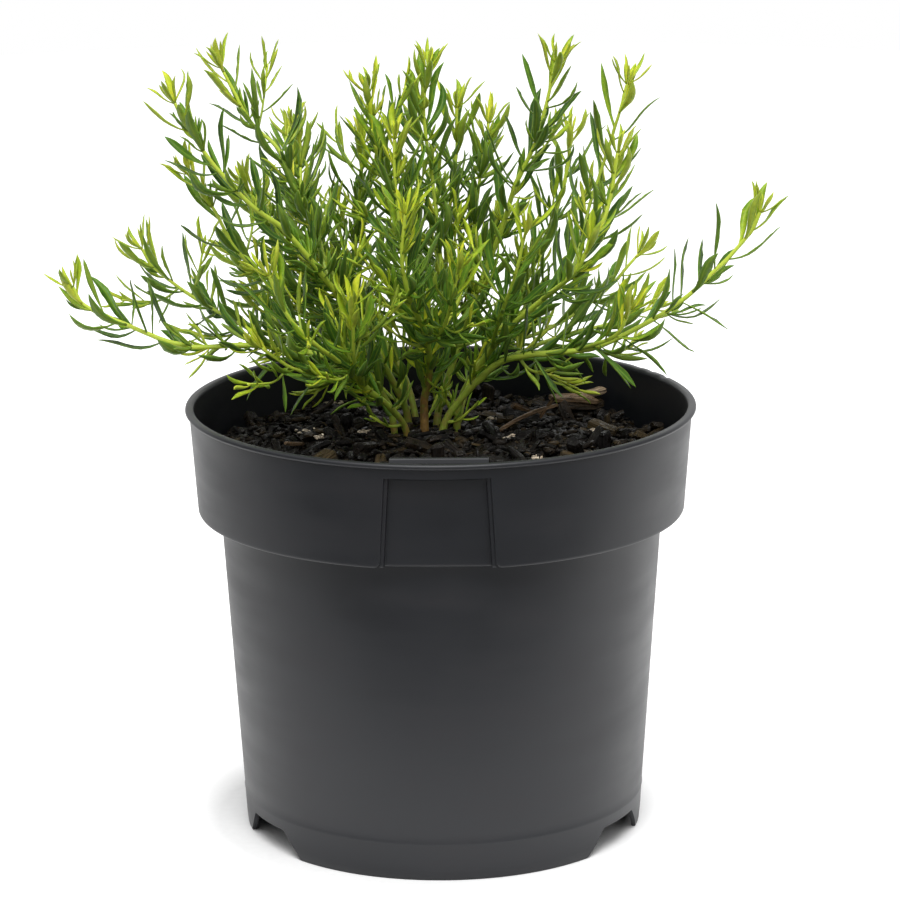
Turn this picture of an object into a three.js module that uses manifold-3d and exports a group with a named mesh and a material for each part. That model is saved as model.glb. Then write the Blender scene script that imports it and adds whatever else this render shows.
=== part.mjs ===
// A creeping boobialla in its nursery pot: the pot, the potting mix and nine leafy stems.
// Millimetres, +Z up. The origin is under the middle of the whole plant, on the surface that the
// pot stands on. Shapes are worked out round the pot's own axis and then moved by potAxis.
import * as THREE from "three";
import { mergeVertices } from "three/addons/utils/BufferGeometryUtils.js";
import Module from "manifold-3d";

const wasm = await Module();
wasm.setup();

// After a join or a cut, edges shorter than the sliver are closed up and vertices moved to the grid.
const sliver = 0.03;
const grid = 0.002;

// Where the pot's axis stands: the plant leans further to the left than to the right.
const potAxis = { x: 6, y: 0 };

// Pot
const pot = {
  height: 119,
  beadRadius: 70,
  beadHeight: 2,
  wall: 1.3,
  collarTopRadius: 69,
  collarFootRadius: 66.9,
  collarFoot: 90,
  bodyTopRadius: 60.8,
  footRadius: 54.9,
  floorUnder: 9,
  floorThickness: 1.6,
  sides: 48,
};
// The flat label panel: its face leans with the collar, and a narrow border steps down to it.
const panel = {
  top: 114.3,
  topWidth: 27.7,
  footWidth: 30.5,
  border: 1.1,
  borderStep: 0.5,
  footFace: -64.4,
};
const labelLedge = { width: 26.5, back: -62.6, top: 118.4, thickness: 1.6 };
const notch = { angles: [-61, 61, 180], height: 8.6, topHalfAngle: 8, footHalfAngle: 15 };
const drainHole = { count: 6, radius: 4, ring: 38 };

// Potting mix
const mix = {
  wallGap: 0.4,
  edge: 103,
  middle: 108.5,
  rings: 5,
  spokes: 24,
  chips: 24,
  bury: 13,
  holeGap: 0.8,
};

// Leaves: every station on a shoot carries one, turned by the golden angle from the last.
const leaf = {
  goldenAngle: 137.5,
  spacing: 4.4,
  tipSpacing: 2.6,
  longest: 19,
  shortest: 9,
  width: 2.3,
  thickness: 0.8,
  widestAt: 0.46,
  rootHalf: 0.16,
  rootDepth: 0.28,
  clearance: 0.25,
  seed: 317,
};

const looks = {
  pot: { color: 0x39393c, roughness: 0.42, metalness: 0 },
  mix: { color: 0x2a1f17, roughness: 0.9, metalness: 0 },
  foliage: { color: 0x6f9a2c, roughness: 0.5, metalness: 0 },
};

// One record for each leafy stem: its hole in the mix, its thickness, and its shoots. The first
// shoot rises from the hole. The others leave an earlier one, at a part of its length.
const leafyStems = [
  {
    name: "leafy_stem_centre",
    hole: [-4.5, 6],
    radius: 1.9,
    shoots: [
      { path: [[-4.5, 6, 118], [-3, 3, 127], [-4, -8, 140], [-8, -20, 152], [-10, -26, 164], [-9, -29, 177]] },
      { from: 0, at: 0.5, path: [[-7, -4, 144], [-9, 1, 158], [-11, 2, 170], [-12, 2, 182], [-12, 1, 192]] },
      { from: 0, at: 0.4, path: [[1, 14, 138], [0, 21, 158], [-2, 23, 178], [-4, 22, 194], [-3, 22, 208]] },
      { from: 2, at: 0.4, path: [[-8, 17, 166], [-14, 17, 180], [-17, 18, 192], [-19, 18, 202]] },
      { from: 0, at: 0.46, path: [[0, -14, 141], [3, -22, 151], [5, -26, 162]] },
    ],
  },
  {
    name: "leafy_stem_front_left",
    hole: [-9.5, 4],
    radius: 1.4,
    shoots: [
      { path: [[-14, -2, 118], [-21, -10, 126], [-26, -20, 134], [-33, -30, 142], [-40, -36, 151], [-45, -39, 163]] },
      { from: 0, at: 0.42, path: [[-22, -18, 131], [-23, -28, 138], [-23, -34, 147], [-23, -36, 154]] },
      { from: 0, at: 0.46, path: [[-32, -15, 130], [-40, -18, 133], [-48, -20, 139]] },
    ],
  },
  {
    name: "leafy_stem_low_left",
    hole: [-13, 9],
    radius: 1.4,
    shoots: [
      {
        path: [[-16, 8, 119], [-28, 3, 130], [-50, -4, 136], [-69, -8, 137], [-86, -10, 144], [-96, -10, 149],
          [-99, -10, 154]],
      },
      { from: 0, at: 0.22, path: [[-35, 15, 131], [-52, 22, 135], [-67, 26, 142], [-79, 27, 151], [-83, 27, 157]] },
      { from: 0, at: 0.38, path: [[-44, 6, 140], [-50, 10, 147]] },
    ],
  },
  {
    name: "leafy_stem_upper_left",
    hole: [-9, 14],
    radius: 1.5,
    shoots: [
      {
        path: [[-11, 13, 117], [-18, 8, 132], [-27, 0, 148], [-41, -8, 168], [-50, -12, 176], [-60, -15, 188],
          [-67, -16, 199], [-70, -16, 205]],
      },
      { from: 0, at: 0.4, path: [[-32, 5, 160], [-39, 8, 177], [-44, 10, 188], [-51, 11, 195], [-59, 12, 210]] },
      { from: 0, at: 0.36, path: [[-36, 1, 149], [-49, 0, 156], [-56, 0, 163], [-61, 0, 173], [-68, 0, 183]] },
      { from: 0, at: 0.47, path: [[-37, 10, 172], [-38, 19, 188]] },
    ],
  },
  {
    name: "leafy_stem_back_left",
    hole: [-7, 20],
    radius: 1.4,
    shoots: [
      { path: [[-12, 27, 124], [-26, 38, 142], [-35, 44, 160], [-40, 46, 176], [-41, 46, 187]] },
      { from: 0, at: 0.45, path: [[-34, 30, 148], [-46, 30, 162], [-54, 31, 174]] },
      { from: 0, at: 0.36, path: [[-30, 44, 130], [-48, 54, 138], [-60, 58, 149]] },
      { from: 0, at: 0.5, path: [[-24, 44, 156], [-22, 42, 172], [-21, 40, 184]] },
    ],
  },
  {
    name: "leafy_stem_back",
    hole: [-1, 16],
    radius: 1.6,
    shoots: [
      { path: [[1, 20, 117], [8, 25, 138], [17, 22, 162], [21, 17, 176], [27, 13, 190], [32, 10, 211]] },
      { from: 0, at: 0.42, path: [[8, 32, 146], [10, 36, 163], [12, 37, 178], [14, 37, 190]] },
      { from: 0, at: 0.36, path: [[2, 32, 142], [3, 37, 166], [5, 39, 182], [5, 39, 194]] },
      { from: 0, at: 0.32, path: [[-3, 36, 130], [-6, 50, 142], [-8, 58, 158], [-9, 60, 168]] },
    ],
  },
  {
    name: "leafy_stem_back_right",
    hole: [5, 18],
    radius: 1.4,
    shoots: [
      { path: [[10, 28, 122], [22, 38, 140], [31, 44, 158], [36, 46, 174], [37, 46, 185]] },
      { from: 0, at: 0.44, path: [[30, 29, 142], [40, 26, 154], [46, 24, 168], [48, 23, 178]] },
      { from: 0, at: 0.36, path: [[30, 44, 129], [46, 54, 137], [57, 58, 148]] },
    ],
  },
  {
    name: "leafy_stem_upper_right",
    hole: [4.5, 11],
    radius: 1.5,
    shoots: [
      {
        path: [[6, 11, 118], [12, 8, 129], [20, 2, 140], [30, -4, 150], [36, -6, 156], [43, -7, 168],
          [46, -6, 176], [48, -6, 189]],
      },
      { from: 0, at: 0.66, path: [[39, 3, 164], [41, 7, 172], [45, 8, 184], [49, 5, 198], [51, 4, 206]] },
      { from: 0, at: 0.56, path: [[34, -12, 155], [38, -17, 161], [40, -19, 168]] },
      { from: 0, at: 0.36, path: [[15, -4, 139], [17, -14, 148], [20, -21, 158], [23, -26, 172]] },
    ],
  },
  {
    name: "leafy_stem_low_right",
    hole: [0.5, 5],
    radius: 1.5,
    shoots: [
      {
        path: [[5, 4, 118], [15, 0, 129], [24, -5, 133], [40, -11, 136], [51, -13, 141], [64, -14, 149],
          [75, -14, 159], [83, -14, 168], [86, -14, 174]],
      },
      { from: 0, at: 0.32, path: [[27, 8, 133], [37, 14, 135], [48, 17, 137], [59, 18, 141]] },
      { from: 0, at: 0.48, path: [[47, -17, 141], [51, -20, 149]] },
    ],
  },
];

const degrees = THREE.MathUtils.degToRad;
const up = new THREE.Vector3(0, 0, 1);

// A stream of seeded random numbers between 0 and 1.
function seeded(seed) {
  let state = seed;
  return () => {
    state = (state * 48271) % 2147483647;
    return state / 2147483647;
  };
}

// Boolean helpers
function asSolid(geometry) {
  const bare = geometry.clone();
  bare.deleteAttribute("normal");
  bare.deleteAttribute("uv");
  const merged = mergeVertices(bare, 1e-4);
  return new wasm.Manifold(new wasm.Mesh({
    numProp: 3,
    vertProperties: new Float32Array(merged.attributes.position.array),
    triVerts: new Uint32Array(merged.index.array),
  }));
}

function asGeometry(solid) {
  const mesh = solid.getMesh();
  const geometry = new THREE.BufferGeometry();
  geometry.setAttribute("position", new THREE.BufferAttribute(mesh.vertProperties, 3));
  geometry.setIndex(new THREE.BufferAttribute(mesh.triVerts, 1));
  return geometry;
}

// The largest connected body of a join or a cut, with its vertices on a fine grid. A loose scrap,
// or the wall of a sealed hollow, is left behind.
function onePiece(solid) {
  let geometry = null;
  let body = solid.simplify(sliver);
  for (let pass = 0; pass < 3; pass++) {
    const bodies = body.decompose();
    const best = bodies.reduce((most, next) => (next.volume() > most.volume() ? next : most));
    geometry = asGeometry(best);
    const position = geometry.attributes.position;
    position.array.forEach((value, i) => {
      position.array[i] = Math.round(value / grid) * grid;
    });
    body = asSolid(geometry);
  }
  geometry = asGeometry(body);
  geometry.computeVertexNormals();
  return geometry;
}

// A closed mesh from rings of points, each ring fanned shut at the ends.
function loft(rings) {
  const count = rings[0].length;
  const positions = rings.flat().flatMap((p) => [p.x, p.y, p.z]);
  const index = [];
  for (let r = 0; r + 1 < rings.length; r++) {
    for (let i = 0; i < count; i++) {
      const j = (i + 1) % count;
      const a = r * count + i;
      const b = r * count + j;
      index.push(a, b, a + count, b, b + count, a + count);
    }
  }
  const last = (rings.length - 1) * count;
  for (let i = 1; i + 1 < count; i++) {
    index.push(0, i + 1, i);
    index.push(last, last + i, last + i + 1);
  }
  const geometry = new THREE.BufferGeometry();
  geometry.setAttribute("position", new THREE.Float32BufferAttribute(positions, 3));
  geometry.setIndex(index);
  return geometry;
}

// An upright prism over an outline of [x, y] points.
function prism(outline, bottom, top) {
  return loft([bottom, top].map((z) => outline.map(([x, y]) => new THREE.Vector3(x, y, z))));
}

// Pot
function potRadius(z) {
  return pot.footRadius + ((pot.bodyTopRadius - pot.footRadius) * z) / pot.collarFoot;
}

function collarRadius(z) {
  const part = (z - pot.collarFoot) / (pot.height - pot.collarFoot);
  return pot.collarFootRadius + (pot.collarTopRadius - pot.collarFootRadius) * part;
}

function potProfile() {
  const { wall, height, beadHeight, collarFoot, floorUnder } = pot;
  const floorTop = floorUnder + pot.floorThickness;
  const beadFoot = height - beadHeight;
  const stepTop = collarFoot + wall;
  return [
    [0, floorUnder],
    [potRadius(floorUnder) - wall, floorUnder],
    [pot.footRadius - wall, 0],
    [pot.footRadius, 0],
    [pot.bodyTopRadius, collarFoot],
    [pot.collarFootRadius, collarFoot],
    [collarRadius(beadFoot), beadFoot],
    [pot.beadRadius - 0.3, beadFoot],
    [pot.beadRadius, beadFoot + 0.4],
    [pot.beadRadius, height - 0.7],
    [pot.beadRadius - 0.7, height],
    [pot.collarTopRadius - wall + 0.4, height],
    [pot.collarTopRadius - wall, height - 0.5],
    [collarRadius(stepTop) - wall, stepTop],
    [pot.bodyTopRadius - wall, stepTop],
    [potRadius(floorTop) - wall, floorTop],
    [0, floorTop],
  ].map(([r, z]) => new THREE.Vector2(r, z));
}

// The cutter for one drain notch: wider at the foot than at the top.
function notchCutter(angle) {
  const rays = [
    [notch.footHalfAngle, -1],
    [notch.topHalfAngle, notch.height],
  ];
  const rings = [pot.footRadius - 9, pot.footRadius + 6].map((radius) => {
    const corners = [];
    for (const [half, z] of rays) {
      const sides = z < 0 ? [-half, half] : [half, -half];
      for (const side of sides) {
        const a = degrees(angle + side - 90);
        corners.push(new THREE.Vector3(radius * Math.cos(a), radius * Math.sin(a), z));
      }
    }
    return corners;
  });
  return loft(rings);
}

// Where the panel's face stands at a height, parallel to the collar's taper.
function panelFace(z) {
  return panel.footFace - collarRadius(z) + pot.collarFootRadius;
}

function labelRecess(inset, proud, bottom) {
  const topHalf = panel.topWidth / 2 - inset;
  const footHalf = panel.footWidth / 2 - inset;
  const top = panel.top - inset;
  const corners = [[-footHalf, bottom], [footHalf, bottom], [topHalf, top], [-topHalf, top]];
  const face = corners.map(([x, z]) => new THREE.Vector3(x, panelFace(z) - proud, z));
  const clear = corners.map(([x, z]) => new THREE.Vector3(x, -pot.beadRadius - 6, z));
  return loft([face, clear]);
}

// A flat-backed slab that grows out of the inside of the collar's front wall.
function frontSlab(width, back, bottom, top) {
  const arcSteps = 6;
  const rings = [bottom, top].map((z) => {
    const radius = collarRadius(z) - pot.wall / 2;
    const half = Math.asin(width / 2 / radius);
    const ring = [];
    for (let i = 0; i <= arcSteps; i++) {
      const a = half * ((2 * i) / arcSteps - 1);
      ring.push(new THREE.Vector3(radius * Math.sin(a), -radius * Math.cos(a), z));
    }
    ring.push(new THREE.Vector3(width / 2, back(z), z), new THREE.Vector3(-width / 2, back(z), z));
    return ring;
  });
  return loft(rings);
}

function makePot() {
  const lathe = new THREE.LatheGeometry(potProfile(), pot.sides);
  lathe.rotateX(Math.PI / 2);
  let solid = asSolid(lathe);

  const panelBack = (z) => panelFace(z) + pot.wall;
  const panelSlab = frontSlab(panel.footWidth + 3, panelBack, pot.collarFoot + 0.2, panel.top + 1.5);
  const ledgeBottom = labelLedge.top - labelLedge.thickness;
  const ledgeSlab = frontSlab(labelLedge.width, () => labelLedge.back, ledgeBottom, labelLedge.top);
  solid = solid.add(asSolid(panelSlab)).add(asSolid(ledgeSlab));
  solid = solid.subtract(asSolid(labelRecess(0, panel.borderStep, pot.collarFoot - 3)));
  solid = solid.subtract(asSolid(labelRecess(panel.border, 0, pot.collarFoot + 1.1)));
  for (const angle of notch.angles) {
    solid = solid.subtract(asSolid(notchCutter(angle)));
  }
  for (let i = 0; i < drainHole.count; i++) {
    const a = (2 * Math.PI * i) / drainHole.count;
    const hole = new THREE.CylinderGeometry(drainHole.radius, drainHole.radius, 6, 8);
    hole.rotateX(Math.PI / 2);
    hole.translate(drainHole.ring * Math.cos(a), drainHole.ring * Math.sin(a), pot.floorUnder + 1);
    solid = solid.subtract(asSolid(hole));
  }
  return onePiece(solid);
}

// Potting mix
function mixTop(x, y) {
  const r = Math.hypot(x, y) / (pot.collarFootRadius - pot.wall);
  const mound = mix.edge + (mix.middle - mix.edge) * Math.sqrt(Math.max(0, 1 - r * r));
  const lumps = Math.sin(x * 0.31 + 1.3) * Math.cos(y * 0.27 - 0.4) + 0.6 * Math.sin(x * 0.55 - y * 0.47);
  return mound + 0.7 * lumps * (1 - 0.5 * r);
}

// One bark chip: a slab with skewed corners, lying nearly flat.
function barkChip(random) {
  const length = 5 + 8 * random();
  const width = 2.5 + 3 * random();
  const chip = new THREE.BoxGeometry(length, width, 1.4 + random());
  const corners = chip.attributes.position;
  for (let i = 0; i < corners.count; i++) {
    const skew = corners.getX(i) > 0 ? 0.72 : 1;
    corners.setY(i, corners.getY(i) * skew + 0.12 * corners.getX(i));
  }
  chip.rotateX(0.6 * (random() - 0.5));
  chip.rotateY(0.7 * (random() - 0.5));
  chip.rotateZ(Math.PI * random());
  const angle = 2 * Math.PI * random();
  const reach = 56 * Math.sqrt(random());
  const x = reach * Math.cos(angle);
  const y = reach * Math.sin(angle);
  chip.translate(x, y, mixTop(x, y) + 0.5);
  return chip;
}

function makeMix() {
  const floorTop = pot.floorUnder + pot.floorThickness + mix.wallGap;
  const stepTop = pot.collarFoot + pot.wall + mix.wallGap;
  const inset = pot.wall + mix.wallGap;
  const circle = (radius, height) => {
    const ring = [];
    for (let i = 0; i < mix.spokes; i++) {
      const a = (2 * Math.PI * i) / mix.spokes;
      const x = radius * Math.cos(a);
      const y = radius * Math.sin(a);
      ring.push(new THREE.Vector3(x, y, height === undefined ? mixTop(x, y) : height));
    }
    return ring;
  };
  const edgeRadius = collarRadius(mix.edge) - inset - 0.2;
  const rings = [
    circle(potRadius(floorTop) - inset - 0.2, floorTop),
    circle(pot.bodyTopRadius - inset - 0.2, stepTop - 1),
    circle(pot.bodyTopRadius - inset - 0.2, stepTop),
    circle(collarRadius(stepTop) - inset - 0.3, stepTop),
  ];
  for (let i = mix.rings; i > 0; i--) {
    rings.push(circle((edgeRadius * i) / mix.rings));
  }
  // The label panel stands inside the collar, so the mix is cut back there.
  const backHalf = panel.footWidth / 2 + 2.5;
  const clearOfPanel = panel.footFace + pot.wall + mix.wallGap;
  const behindPanel = prism(
    [[-backHalf, -80], [backHalf, -80], [backHalf, clearOfPanel], [-backHalf, clearOfPanel]],
    pot.collarFoot,
    pot.height,
  );
  let solid = asSolid(loft(rings));
  const random = seeded(1207);
  const chips = Array.from({ length: mix.chips }, () => asSolid(barkChip(random)));
  solid = wasm.Manifold.union([solid, ...chips]);
  solid = solid.subtract(asSolid(behindPanel));
  for (const stem of leafyStems) {
    const [x, y] = stem.hole;
    const hole = new THREE.CylinderGeometry(stem.radius + mix.holeGap, stem.radius + mix.holeGap, 40, 10);
    hole.rotateX(Math.PI / 2);
    hole.translate(x, y, mix.middle - mix.bury + 20);
    solid = solid.subtract(asSolid(hole));
  }
  return onePiece(solid);
}

// Stems: each shoot is sampled into points with a tangent, a distance and a thickness.
function sampleShoot(points, startRadius, endRadius) {
  const curve = new THREE.CatmullRomCurve3(points, false, "catmullrom", 0.5);
  const steps = (points.length - 1) * 12;
  const samples = [];
  let distance = 0;
  for (let i = 0; i <= steps; i++) {
    const position = curve.getPoint(i / steps);
    if (i > 0) {
      distance += position.distanceTo(samples[i - 1].position);
    }
    samples.push({ position, distance });
  }
  for (let i = 0; i <= steps; i++) {
    const before = samples[Math.max(0, i - 1)].position;
    const after = samples[Math.min(steps, i + 1)].position;
    samples[i].tangent = after.clone().sub(before).normalize();
    samples[i].radius = startRadius + (endRadius - startRadius) * Math.pow(i / steps, 0.8);
  }
  return { samples, length: distance };
}

function alongShoot(shoot, distance) {
  const found = shoot.samples.findIndex((s) => s.distance >= distance);
  return shoot.samples[found < 0 ? shoot.samples.length - 1 : found];
}

function growShoots(stem) {
  const shoots = [];
  for (const { from, at, path } of stem.shoots) {
    const points = path.map((p) => new THREE.Vector3(...p));
    if (from === undefined) {
      const [x, y] = stem.hole;
      points.unshift(new THREE.Vector3(x, y, mix.middle + 1));
      points.unshift(new THREE.Vector3(x, y, mix.middle - mix.bury + 1));
      shoots.push({ ...sampleShoot(points, stem.radius, 0.55), bare: mix.bury + 11 });
    } else {
      const parent = shoots[from];
      const start = alongShoot(parent, at * parent.length);
      points.unshift(start.position.clone());
      shoots.push({ ...sampleShoot(points, Math.min(1.1, start.radius * 0.8), 0.5), bare: 6 });
    }
  }
  return shoots;
}

// Two directions square to a tangent, the first one level.
function squareTo(tangent) {
  const level = new THREE.Vector3().crossVectors(up, tangent);
  if (level.length() < 0.05) {
    level.set(1, 0, 0);
  }
  level.normalize();
  return [level, new THREE.Vector3().crossVectors(tangent, level).normalize()];
}

function stemTube(shoot, sides) {
  const every = 12;
  const rings = [];
  for (let i = 0; i < shoot.samples.length; i += every) {
    const { position, tangent, radius } = shoot.samples[i];
    const [level, rise] = squareTo(tangent);
    const ring = [];
    for (let k = 0; k < sides; k++) {
      const a = (2 * Math.PI * k) / sides;
      const offset = level.clone().multiplyScalar(radius * Math.cos(a));
      ring.push(offset.addScaledVector(rise, radius * Math.sin(a)).add(position));
    }
    rings.push(ring);
  }
  return loft(rings);
}

// Leaves: a leaf is a spine of three points, root, middle and tip, and a broad direction.
function leafSpine(sample, azimuth, open, length, lift) {
  const [level, rise] = squareTo(sample.tangent);
  const out = level.clone().multiplyScalar(Math.cos(azimuth)).addScaledVector(rise, Math.sin(azimuth));
  const broad = new THREE.Vector3().crossVectors(sample.tangent, out).normalize();
  const first = sample.tangent.clone().multiplyScalar(Math.cos(open));
  first.addScaledVector(out, Math.sin(open)).normalize();
  const second = first.clone().addScaledVector(up, lift).addScaledVector(sample.tangent, 0.25).normalize();
  const root = sample.position.clone();
  const middle = root.clone().addScaledVector(first, length * leaf.widestAt);
  const tip = middle.clone().addScaledVector(second, length * (1 - leaf.widestAt));
  return { points: [root, middle, tip], broad };
}

// The stations of one shoot, from its bare foot to its tip.
function leafStations(shoot, random) {
  const stations = [];
  let distance = shoot.bare;
  let azimuth = 360 * random();
  while (distance < shoot.length - 0.4) {
    const part = distance / shoot.length;
    const toTip = shoot.length - distance;
    const young = Math.max(0, 1 - toTip / 22);
    const old = Math.max(0, 0.35 - part) / 0.35;
    const size = leaf.longest - (leaf.longest - leaf.shortest) * Math.max(young * young, 0.55 * old);
    stations.push({
      distance,
      azimuth: azimuth + 24 * (random() - 0.5),
      open: 52 - 30 * young + 12 * (random() - 0.5),
      length: size * (0.82 + 0.3 * random()),
      lift: 0.55 + 0.4 * random(),
      width: leaf.width * (0.84 + 0.2 * random()) * (1 - 0.25 * young),
    });
    azimuth += leaf.goldenAngle;
    distance += leaf.spacing + (leaf.tipSpacing - leaf.spacing) * young;
  }
  return stations;
}

function leafBlade(spine, width) {
  const [root, middle, tip] = spine.points;
  const direction = middle.clone().sub(root).normalize();
  const keel = new THREE.Vector3().crossVectors(direction, spine.broad).normalize();
  const ring = (centre, half, depth) => [
    centre.clone().addScaledVector(spine.broad, -half).addScaledVector(keel, depth / 3),
    centre.clone().addScaledVector(spine.broad, half).addScaledVector(keel, depth / 3),
    centre.clone().addScaledVector(keel, (-2 * depth) / 3),
  ];
  const rootRing = ring(root, leaf.rootHalf, leaf.rootDepth);
  const positions = [...rootRing, ...ring(middle, width / 2, leaf.thickness), tip].flatMap((p) => [p.x, p.y, p.z]);
  const index = [0, 1, 2];
  for (let i = 0; i < 3; i++) {
    const j = (i + 1) % 3;
    index.push(j, i, i + 3, j, i + 3, j + 3, j + 3, i + 3, 6);
  }
  const geometry = new THREE.BufferGeometry();
  geometry.setAttribute("position", new THREE.Float32BufferAttribute(positions, 3));
  geometry.setIndex(index);
  return geometry;
}

// The shortest distance between two straight segments, a to b and c to d.
function segmentGap(a, b, c, d) {
  const u = b.clone().sub(a);
  const v = d.clone().sub(c);
  const w = a.clone().sub(c);
  const uu = u.dot(u);
  const vv = v.dot(v);
  const uv = u.dot(v);
  const uw = u.dot(w);
  const vw = v.dot(w);
  const clamp = THREE.MathUtils.clamp;
  const spread = uu * vv - uv * uv;
  let s = spread > 1e-9 ? clamp((uv * vw - vv * uw) / spread, 0, 1) : 0;
  const t = clamp((uv * s + vw) / vv, 0, 1);
  s = clamp((uv * t - uw) / uu, 0, 1);
  return w.addScaledVector(u, s).addScaledVector(v, -t).length();
}

// What already stands in the way: segments of stems and leaves, with the node that they belong to.
const taken = [];

// A leaf's foot, the part of its lower half that may touch its neighbours.
const footPart = 0.45;

function stemSegments(node, shoot) {
  const every = 6;
  for (let i = 0; i + every < shoot.samples.length; i += every) {
    const start = shoot.samples[i];
    const end = shoot.samples[i + every];
    taken.push({ node, a: start.position, b: end.position, radius: start.radius });
  }
}

function leafFits(node, spine, width) {
  const [root, middle, tip] = spine.points;
  const footEnd = root.clone().lerp(middle, footPart);
  for (const p of [middle, tip]) {
    if (p.z < mixTop(p.x, p.y) + 3.5 && Math.hypot(p.x, p.y) < pot.beadRadius + 3) {
      return false;
    }
    const fromAxis = Math.hypot(p.x, p.y);
    if (p.z < pot.height + 2 && fromAxis > 58 && fromAxis < pot.beadRadius + 3) {
      return false;
    }
  }
  for (const other of taken) {
    const own = other.node === node;
    if (other.a.distanceTo(middle) > 26 || (own && other.foot)) {
      continue;
    }
    const reach = (width / 2 + other.radius) * (own ? 0.8 : 1) + (own ? 0 : leaf.clearance);
    const start = own ? footEnd : root;
    if (segmentGap(start, middle, other.a, other.b) < reach || segmentGap(middle, tip, other.a, other.b) < reach) {
      return false;
    }
  }
  return true;
}

// A leaf that would cross another stem is turned about its own, then shortened, then left out.
function placeLeaf(node, shoot, station) {
  const sample = alongShoot(shoot, station.distance);
  for (const shorten of [1, 0.75]) {
    for (const turn of [0, 22, -22, 44, -44, 70, -70, 110]) {
      const spine = leafSpine(
        sample,
        degrees(station.azimuth + turn),
        degrees(station.open),
        station.length * shorten,
        station.lift,
      );
      if (leafFits(node, spine, station.width)) {
        const [root, middle, tip] = spine.points;
        const footEnd = root.clone().lerp(middle, footPart);
        const radius = station.width / 2;
        taken.push({ node, a: root, b: footEnd, radius, foot: true });
        taken.push({ node, a: footEnd, b: middle, radius });
        taken.push({ node, a: middle, b: tip, radius });
        return leafBlade(spine, station.width);
      }
    }
  }
  return null;
}

function makeLeafyStems() {
  const grown = leafyStems.map((stem) => growShoots(stem));
  grown.forEach((shoots, node) => shoots.forEach((shoot) => stemSegments(node, shoot)));
  return leafyStems.map((stem, node) => {
    const random = seeded(leaf.seed + 17 * node);
    const pieces = [];
    grown[node].forEach((shoot, i) => {
      pieces.push(asSolid(stemTube(shoot, i === 0 ? 5 : 4)));
      for (const station of leafStations(shoot, random)) {
        const blade = placeLeaf(node, shoot, station);
        if (blade) {
          pieces.push(asSolid(blade));
        }
      }
    });
    return { name: stem.name, geometry: onePiece(wasm.Manifold.union(pieces)) };
  });
}

const group = new THREE.Group();
group.position.set(potAxis.x, potAxis.y, 0);

function addPiece(name, geometry, look) {
  const piece = new THREE.Mesh(geometry, new THREE.MeshStandardMaterial(look));
  piece.name = name;
  group.add(piece);
}

addPiece("pot", makePot(), looks.pot);
addPiece("potting_mix", makeMix(), looks.mix);
for (const { name, geometry } of makeLeafyStems()) {
  addPiece(name, geometry, looks.foliage);
}

export default group;
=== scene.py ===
# A creeping boobialla in its black nursery pot, seen on a plain pale floor in soft studio light.
import random
from functools import partial
from math import asin, atan2, cos, degrees, hypot, pi, radians, sin, sqrt
import bmesh
import bpy
from mathutils import Matrix, Vector, noise


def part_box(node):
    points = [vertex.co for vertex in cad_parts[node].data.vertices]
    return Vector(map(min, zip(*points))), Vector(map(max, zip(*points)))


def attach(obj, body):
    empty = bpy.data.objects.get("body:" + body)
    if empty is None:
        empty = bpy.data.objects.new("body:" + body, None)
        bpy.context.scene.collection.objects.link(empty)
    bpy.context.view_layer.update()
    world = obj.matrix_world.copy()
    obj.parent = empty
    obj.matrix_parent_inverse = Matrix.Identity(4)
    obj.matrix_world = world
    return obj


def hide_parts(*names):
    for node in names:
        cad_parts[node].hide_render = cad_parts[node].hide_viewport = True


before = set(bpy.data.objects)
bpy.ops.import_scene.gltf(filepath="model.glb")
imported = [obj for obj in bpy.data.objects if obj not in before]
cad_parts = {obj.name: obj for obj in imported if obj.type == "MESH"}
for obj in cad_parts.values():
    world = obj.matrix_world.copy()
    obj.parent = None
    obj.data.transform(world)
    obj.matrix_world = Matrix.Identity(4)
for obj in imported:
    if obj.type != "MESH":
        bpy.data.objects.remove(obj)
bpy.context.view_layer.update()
print("frame loaded")

mm = 0.001
potLow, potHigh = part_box("pot")
axisX = (potLow.x + potHigh.x) / 2  # the pot's own axis, in metres
axisY = (potLow.y + potHigh.y) / 2


# Shared helpers

def linear(hexColour):
    channels = [int(hexColour[i:i + 2], 16) / 255 for i in (1, 3, 5)]
    return [c / 12.92 if c <= 0.04045 else ((c + 0.055) / 1.055) ** 2.4 for c in channels] + [1.0]


def smoothstep(low, high, value):
    t = min(1.0, max(0.0, (value - low) / (high - low)))
    return t * t * (3 - 2 * t)


def toFrame(p):
    return (axisX + p[0] * mm, axisY + p[1] * mm, p[2] * mm)


# Empties the nodes of a material or world, and returns the function that adds one to them.
def clearNodes(owner):
    owner.use_nodes = True
    owner.node_tree.nodes.clear()
    return partial(addNode, owner.node_tree)


def newMaterial(name):
    material = bpy.data.materials.new(name)
    return material, clearNodes(material)


# Inputs go by name or in the node's own order. A node given as an input joins by its first output.
def addNode(tree, kind, inputs=(), stops=(), **settings):
    node = tree.nodes.new("ShaderNode" + kind)
    for key, value in settings.items():
        setattr(node, key, value)
    for i, (place, colour) in enumerate(stops):  # a colour ramp's stops
        element = node.color_ramp.elements[i] if i < 2 else node.color_ramp.elements.new(place)
        element.position = place
        element.color = linear(colour)
    for key, value in inputs.items() if isinstance(inputs, dict) else enumerate(inputs):
        if isinstance(value, bpy.types.Node):
            value = value.outputs[0]
        if isinstance(value, bpy.types.NodeSocket):
            tree.links.new(value, node.inputs[key])
        else:
            node.inputs[key].default_value = value
    return node


def closeMaterial(add, look):
    shader = add("BsdfPrincipled", look)
    add("OutputMaterial", {"Surface": shader})


# The angles of evenly spaced points on a circle.
def wholeTurn(count):
    return [2 * pi * i / count for i in range(count)]


def polar(radius, a):
    return radius * cos(a), radius * sin(a)


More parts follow.
